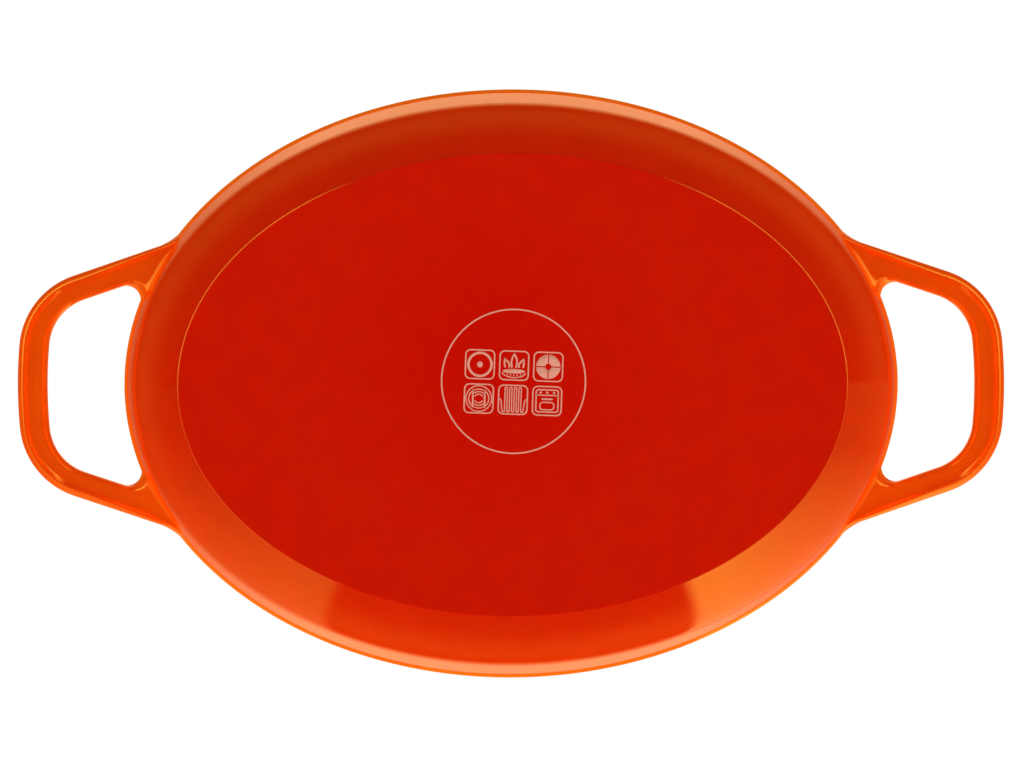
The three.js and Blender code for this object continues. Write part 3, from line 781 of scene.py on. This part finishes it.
def smooth_through(points, steps):
    """A smooth curve through points, by cubic steps between them."""
    points = np.asarray(points, float)
    padded = np.vstack([2 * points[0] - points[1], points, 2 * points[-1] - points[-2]])
    rows = []
    for p0, p1, p2, p3 in zip(padded, padded[1:], padded[2:], padded[3:]):
        for t in np.linspace(0, 1, steps, endpoint=False):
            square = (2 * p0 - 5 * p1 + 4 * p2 - p3) * t**2
            cube = (3 * p1 - p0 - 3 * p2 + p3) * t**3
            rows.append(0.5 * (2 * p1 + (p2 - p0) * t + square + cube))
    return np.vstack([rows, points[-1]])


def knob_stem():
    low, high = (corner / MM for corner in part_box("knob_stem"))
    foot, neck, head, bore = high.x, 9.0, 13.5, 5.8
    height = high.z - low.z
    neck_z = 0.55 * height
    head_z = height - 1.4
    curve = smooth_through(
        [
            (foot, 1.6),
            ((foot + 2 * neck) / 3, (3.2 + neck_z) / 3),
            (neck, neck_z),
            ((head + 2 * neck) / 3, (2 * head_z + neck_z) / 3),
            (head, head_z),
        ],
        12,
    )
    rows = [(bore, 0), (foot - 0.9, 0), (foot - 0.5, 0.08), (foot - 0.15, 0.35), (foot, 0.8)]
    rows += [tuple(p) for p in curve]
    rows += [(head, height - 0.4), (head - 0.12, height - 0.12), (head - 0.4, height), (bore, height)]
    profile = [(r, z + low.z) for r, z in rows]
    return turned("knob_stem_turned", profile, stainless, "lid_and_knob", "knob_stem")


def knob_cap():
    low, high = (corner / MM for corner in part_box("knob_cap"))
    edge, hole, wall, rim = high.x, 8.3, 1.6, 4.0
    height = high.z - low.z
    rise = height - rim

    def dome(inward, steps=22):
        turn = np.linspace(0, half_pi, steps + 1)[:-1]
        radius = (edge - inward) * np.cos(turn) ** 0.8
        return list(zip(radius, rim + (rise - inward) * np.sin(turn)))

    under = bezier((edge - 0.5 * rim, 0), (edge - 0.05 * rim, 0.1), (edge, rim), 12)
    rows = [(hole, 0), (edge - 0.75 * rim, 0), (edge - 0.5 * rim, 0)]
    rows += [tuple(p) for p in under]
    rows += dome(0)
    rows += [(1.2, height - 0.01), (0.4, height), (0.0, height), (0.0, height - wall)]
    rows += dome(wall)[::-1]
    rows += [(edge - 0.5 * rim - wall, wall), (hole, wall)]
    profile = [(r, z + low.z) for r, z in rows]
    return turned("knob_cap_drawn", profile, stainless, "lid_and_knob", "knob_cap")


# Small hardware stays as packed, with worked metal and rubber on it
def dress_hardware():
    finishes = {
        "knob_threaded_bush": brass,
        "knob_gasket": silicone,
        "knob_screw": plain_steel,
        "flat_washer": plain_steel,
        "lock_washer": plain_steel,
    }
    for name, material in finishes.items():
        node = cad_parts[name]
        node.data.materials.clear()
        node.data.materials.append(material)
        edges = node.modifiers.new("edges", "BEVEL")
        edges.width = 0.15 * MM
        edges.segments = 2
        edges.limit_method = "ANGLE"


# Printed mark under the base: a ring, and six plain signs for kinds of hob

MARK_X, MARK_Y = 0.3, -1.3
MARK_TURN = math.radians(2.4)
MARK_RADIUS = 28
MARK_LINE = 0.6
GRID_DROP = 0.5
SIGN_PITCH = 13.3
SIGN_SIZE = 11.2
SIGN_ROUND = 1.9
SIGN_LINE = 0.55
FINE_LINE = 0.45
INK_LIFT = 0.03


class Ink:
    """Collects flat shapes in the plane of the base. Image up is -Y."""

    def __init__(self):
        self.vertices, self.faces = [], []

    def fill(self, points):
        start = len(self.vertices)
        self.vertices.extend(map(tuple, points))
        self.faces.append(list(range(start, start + len(points))))

    def stroke(self, points, width, closed=False):
        points = np.asarray(points, float)
        ahead = np.roll(points, -1, 0) - points
        behind = points - np.roll(points, 1, 0)
        if not closed:
            ahead[-1], behind[0] = behind[-1], ahead[0]
        ahead /= np.linalg.norm(ahead, axis=1)[:, None]
        behind /= np.linalg.norm(behind, axis=1)[:, None]
        along = ahead + behind
        along /= np.linalg.norm(along, axis=1)[:, None]
        square = np.column_stack([-along[:, 1], along[:, 0]])
        widen = 1 / np.maximum(np.abs((along * ahead).sum(1)), 0.5)
        offset = square * (width / 2 * widen)[:, None]
        start = len(self.vertices)
        for left, right in zip(points + offset, points - offset):
            self.vertices.extend([tuple(left), tuple(right)])
        count = len(points)
        for i in range(count if closed else count - 1):
            j = (i + 1) % count
            self.faces.append([start + 2 * i, start + 2 * i + 1, start + 2 * j + 1, start + 2 * j])


def ellipse(x, y, rx, ry, steps=48, start=0.0, end=2 * math.pi, whole=True):
    turn = np.linspace(start, end, steps, endpoint=not whole)
    return np.column_stack([x + rx * np.cos(turn), y + ry * np.sin(turn)])


def rounded_square(size, corner, steps=8):
    reach = size / 2 - corner
    points = []
    for quarter in range(4):
        angle = quarter * half_pi
        x = reach * (1 if quarter in (0, 3) else -1)
        y = reach * (1 if quarter in (0, 1) else -1)
        points.append(ellipse(x, y, corner, corner, steps, angle, angle + half_pi, whole=False))
    return np.vstack(points)


def moved(points, x, y):
    return np.asarray(points) + [x, y]


def plate_sign(ink_shapes, x, y):
    ink_shapes.stroke(ellipse(x, y, 4.5, 4.5, 64), 0.95, closed=True)
    ink_shapes.fill(ellipse(x, y, 1.1, 1.2, 24))


def gas_sign(ink_shapes, x, y):
    """Three flames over a burner with its row of holes."""
    base = y + 0.8
    for dx, height, lean, spread in ((-2.7, 3.2, -0.9, 1.3), (0, 5.2, 0, 1.7), (2.7, 3.2, 0.9, 1.3)):
        left, right = (x + dx - 0.75, base), (x + dx + 0.75, base)
        tip = (x + dx + lean, base - height)
        rise = bezier(left, (x + dx - spread, base - 0.55 * height), tip, 8)
        fall = bezier(tip, (x + dx + spread, base - 0.55 * height), right, 8)
        ink_shapes.stroke(np.vstack([[left], rise, [tip], fall, [right]]), 0.7)
    ink_shapes.fill(ellipse(x, y + 2.2, 4.4, 0.9, 40))
    ink_shapes.stroke(ellipse(x, y + 2.7, 4.45, 1.95, 32, 0, math.pi, whole=False), FINE_LINE)
    for dx in (-2.6, -1.3, 0, 1.3, 2.6):
        ink_shapes.fill(ellipse(x + dx, y + 3.75 - 0.04 * dx**2, 0.36, 0.24, 12))


def solid_sign(ink_shapes, x, y):
    """Four filled quarters of a plate around a hub."""
    for quarter in range(4):
        start = quarter * half_pi
        outer = ellipse(x, y, 4.75, 4.75, 16, start + 0.04, start + half_pi - 0.04, whole=False)
        inner = ellipse(x, y, 1.2, 1.2, 8, start + half_pi - 0.16, start + 0.16, whole=False)
        ink_shapes.fill(np.vstack([outer, inner]))


def radiant_sign(ink_shapes, x, y):
    """Rings of a glowing plate, crossed by two upright bars."""
    ink_shapes.stroke(ellipse(x, y, 5.0, 5.0, 64), FINE_LINE, closed=True)
    for side in (-1, 1):
        bar = x + side * 2.3
        ink_shapes.stroke([(bar, y - 3.5), (bar, y + 3.5)], 0.7)
        middle = 0 if side > 0 else math.pi
        ink_shapes.stroke(ellipse(x, y, 3.9, 3.9, 16, middle - 0.8, middle + 0.8, whole=False), FINE_LINE)
        for radius in (3.7, 2.7, 1.7):
            reach = min(1.1, math.asin(min(1, 1.75 / radius)))
            middle = side * half_pi
            ring = ellipse(x, y, radius, radius, 12, middle - reach, middle + reach, whole=False)
            ink_shapes.stroke(ring, FINE_LINE)


def coil_sign(ink_shapes, x, y):
    """One wire: in from the left, up and down in close turns, and out to the right."""
    runs, pitch, reach = 8, 0.9, 4.4
    wire = [(x - 5.2, y - 0.4), (x - 4.6, y + 0.3), (x - 4.2, y + 3.6)]
    for i in range(runs):
        run_x = x + (i - (runs - 1) / 2) * pitch
        turn_x, upwards = run_x - pitch / 2, i % 2 == 0
        turn_y = y + (reach if upwards else -reach)
        half_turn = ellipse(turn_x, turn_y, pitch / 2, 0.45, 7, math.pi, 0, whole=False)
        wire.extend((px, py if upwards else 2 * turn_y - py) for px, py in half_turn)
    last_x = x + (runs - 1) / 2 * pitch
    half_turn = ellipse(last_x + pitch / 2, y + reach, pitch / 2, 0.45, 7, math.pi, 0, whole=False)
    wire.extend(map(tuple, half_turn))
    wire.extend([(x + 4.6, y + 0.3), (x + 5.2, y - 0.4)])
    ink_shapes.stroke(wire, FINE_LINE)


def oven_sign(ink_shapes, x, y):
    ink_shapes.stroke(moved(rounded_square(8.6, 0.9), x, y), 0.55, closed=True)
    ink_shapes.stroke([(x - 4.3, y - 2.2), (x + 4.3, y - 2.2)], 0.5)
    ink_shapes.stroke([(x - 2.2, y - 0.7), (x + 2.2, y - 0.7)], 0.7)
    for dx in (-2.6, 0, 2.6):
        ink_shapes.fill(ellipse(x + dx, y - 3.2, 0.5, 0.5, 16))
    ink_shapes.stroke(moved(rounded_square(1, 0.3) * [5.4, 2.9], x, y + 2.0), 0.5, closed=True)


def printed_mark():
    shapes = Ink()
    shapes.stroke(ellipse(0, 0, MARK_RADIUS, MARK_RADIUS, 180), MARK_LINE, closed=True)
    signs = [[plate_sign, gas_sign, solid_sign], [radiant_sign, coil_sign, oven_sign]]
    for row, line_of_signs in enumerate(signs):
        for column, sign in enumerate(line_of_signs):
            x = (column - 1) * SIGN_PITCH
            y = (row - 0.5) * SIGN_PITCH + GRID_DROP
            shapes.stroke(moved(rounded_square(SIGN_SIZE, SIGN_ROUND), x, y), SIGN_LINE, closed=True)
            sign(shapes, x, y)
    c, s = math.cos(MARK_TURN), math.sin(MARK_TURN)
    vertices = [(MARK_X + c * x - s * y, MARK_Y + s * x + c * y, -INK_LIFT) for x, y in shapes.vertices]
    mark = mesh_object("printed_mark", vertices, shapes.faces, [ink])
    layer = mark.modifiers.new("layer", "SOLIDIFY")
    layer.thickness = INK_LIFT * MM
    layer.offset = 0
    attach(mark, "pot")
    return mark


pot_body()
lid_shell()
knob_stem()
knob_cap()
dress_hardware()
printed_mark()


# Studio in metres: a pale floor seen from above only, a soft light tent, and the camera

FLOOR_Z = -0.0005
FLOOR_RADIUS = 3.0
FLOOR_FADE_START = 0.9

BACKDROP_LEVEL = 1.2
TABLE_LEFT, TABLE_RIGHT = 0.4, 1.2
LAMP_LEVEL = 1.5
WALL_LEVEL = 0.09
DARK_LEVEL = 0.02

CAMERA_PLACE = (-0.0064, -0.005, -1.128)
CAMERA_AIM = (0.0003, 0.0002, POT_HEIGHT * MM)
CAMERA_ROLL = math.radians(0.3)
CAMERA_LENS = 101.9


def studio_floor():
    """A round floor that fades out far away and is clear from below, so that the underside can be seen."""
    shape = bmesh.new()
    bmesh.ops.create_circle(shape, cap_ends=True, segments=128, radius=FLOOR_RADIUS)
    mesh = bpy.data.meshes.new("studio_floor")
    shape.to_mesh(mesh)
    shape.free()
    floor = bpy.data.objects.new("studio_floor", mesh)
    floor.location.z = FLOOR_Z
    bpy.context.scene.collection.objects.link(floor)
    for kind in ("diffuse", "glossy", "transmission", "shadow", "volume_scatter"):
        setattr(floor, f"visible_{kind}", False)

    material, tree, shader = new_material("floor_paint", Roughness=0.9)
    position = object_position(tree)
    pale = ramp(tree, noise(tree, position, 40, 4), [(0.3, (0.8, 0.8, 0.795)), (0.7, (0.83, 0.83, 0.825))])
    tree.links.new(pale, shader.inputs["Base Color"])
    clear = add_node(tree, "ShaderNodeBsdfTransparent")
    distance = add_node(tree, "ShaderNodeVectorMath", {0: position}, operation="LENGTH").outputs["Value"]
    fade = mapped(tree, distance, FLOOR_FADE_START, FLOOR_RADIUS, 0.0, 1.0)
    behind = add_node(tree, "ShaderNodeNewGeometry").outputs["Backfacing"]
    unseen = add_node(tree, "ShaderNodeMath", {0: fade, 1: behind}, operation="MAXIMUM")
    mix = add_node(tree, "ShaderNodeMixShader", {0: unseen.outputs[0]})
    tree.links.new(shader.outputs["BSDF"], mix.inputs[1])
    tree.links.new(clear.outputs["BSDF"], mix.inputs[2])
    tree.links.new(mix.outputs["Shader"], tree.nodes["Material Output"].inputs["Surface"])
    mesh.materials.append(material)
    return floor


def light_tent():
    """White to the camera, with even light that is a little stronger from the table.

    Reflections show the photograph's room: a white backdrop overhead, a pale table on the +Y side with the
    object's shadow in its middle, lamps left and right of the camera, dim walls, and a dark room elsewhere.
    """
    world = bpy.data.worlds.new("light_tent")
    world.use_nodes = True
    bpy.context.scene.world = world
    tree = world.node_tree
    tree.nodes.clear()
    direction = add_node(tree, "ShaderNodeTexCoord").outputs["Generated"]
    x, y, z = add_node(tree, "ShaderNodeSeparateXYZ", {"Vector": direction}).outputs
    flat = add_node(tree, "ShaderNodeCombineXYZ", {"X": x, "Y": y}).outputs["Vector"]
    spread = add_node(tree, "ShaderNodeVectorMath", {0: flat}, operation="LENGTH").outputs["Value"]
    across = add_node(tree, "ShaderNodeMath", {0: x}, operation="ABSOLUTE").outputs[0]
    sideways = math_node(tree, "DIVIDE", across, spread)

    # The room as reflections show it
    backdrop = mapped(tree, z, 0.83, 0.975, 0.0, BACKDROP_LEVEL)
    backdrop = math_node(tree, "MULTIPLY", backdrop, mapped(tree, sideways, 0.5, 0.95, 1.0, 0.2))
    table = mapped(tree, y, -0.01, 0.01, 0.0, 1.0)
    for part in (
        mapped(tree, sideways, 0.4, 0.43, 0.0, 1.0),
        mapped(tree, sideways, 0.5, 0.95, 1.0, 0.1),
        mapped(tree, x, -0.15, 0.15, TABLE_LEFT, TABLE_RIGHT),
        mapped(tree, z, -0.45, -0.3, 0.0, 1.0),
        mapped(tree, z, 0.86, 0.93, 1.0, 0.0),
    ):
        table = math_node(tree, "MULTIPLY", table, part)
    lamps = mapped(tree, sideways, 0.36, 0.5, 0.0, LAMP_LEVEL)
    for part in (
        mapped(tree, y, -0.1, 0.1, 1.0, 0.3),
        mapped(tree, z, -0.82, -0.74, 0.0, 1.0),
        mapped(tree, z, -0.3, -0.22, 1.0, 0.0),
    ):
        lamps = math_node(tree, "MULTIPLY", lamps, part)
    walls = mapped(tree, z, 0.0, 0.4, 0.0, WALL_LEVEL)
    walls = math_node(tree, "MULTIPLY", walls, mapped(tree, z, 0.6, 0.8, 1.0, 0.0))
    room = math_node(tree, "ADD", math_node(tree, "ADD", table, lamps), backdrop)
    room = math_node(tree, "MAXIMUM", room, math_node(tree, "MAXIMUM", walls, DARK_LEVEL))

    # Even light on every surface
    even = math_node(tree, "MULTIPLY_ADD", y, 0.38, 0.83)
    even = math_node(tree, "MULTIPLY_ADD", x, 0.06, even)
    even = math_node(tree, "MULTIPLY_ADD", across, 0.22, even)

    path = add_node(tree, "ShaderNodeLightPath").outputs
    mirrored = math_node(tree, "MAXIMUM", path["Is Glossy Ray"], path["Is Transmission Ray"])
    level = add_node(tree, "ShaderNodeMix", {0: mirrored, 2: even, 3: room}, data_type="FLOAT").outputs[0]
    lit = add_node(tree, "ShaderNodeBackground", {"Color": (1, 1, 1, 1), "Strength": level})
    white = add_node(tree, "ShaderNodeBackground", {"Color": (1, 1, 1, 1), "Strength": 1.0})
    mix = add_node(tree, "ShaderNodeMixShader", {0: path["Is Camera Ray"]})
    tree.links.new(lit.outputs[0], mix.inputs[1])
    tree.links.new(white.outputs[0], mix.inputs[2])
    output = add_node(tree, "ShaderNodeOutputWorld")
    tree.links.new(mix.outputs[0], output.inputs["Surface"])


def studio_camera():
    """The photograph's view: from straight below, about 1.24 m from the rim, image up towards -Y."""
    data = bpy.data.cameras.new("camera")
    data.lens = CAMERA_LENS
    data.sensor_width = 36
    data.clip_start, data.clip_end = 0.01, 20
    camera = bpy.data.objects.new("camera", data)
    camera.location = CAMERA_PLACE
    towards = (Vector(CAMERA_AIM) - Vector(CAMERA_PLACE)).normalized()
    up = Vector((math.sin(CAMERA_ROLL), -math.cos(CAMERA_ROLL), 0))
    right = towards.cross(up).normalized()
    up = right.cross(towards)
    camera.rotation_euler = Matrix((right, up, -towards)).transposed().to_euler()
    bpy.context.scene.collection.objects.link(camera)
    bpy.context.scene.camera = camera


studio_floor()
light_tent()
studio_camera()
bpy.context.scene.view_settings.view_transform = "Standard"
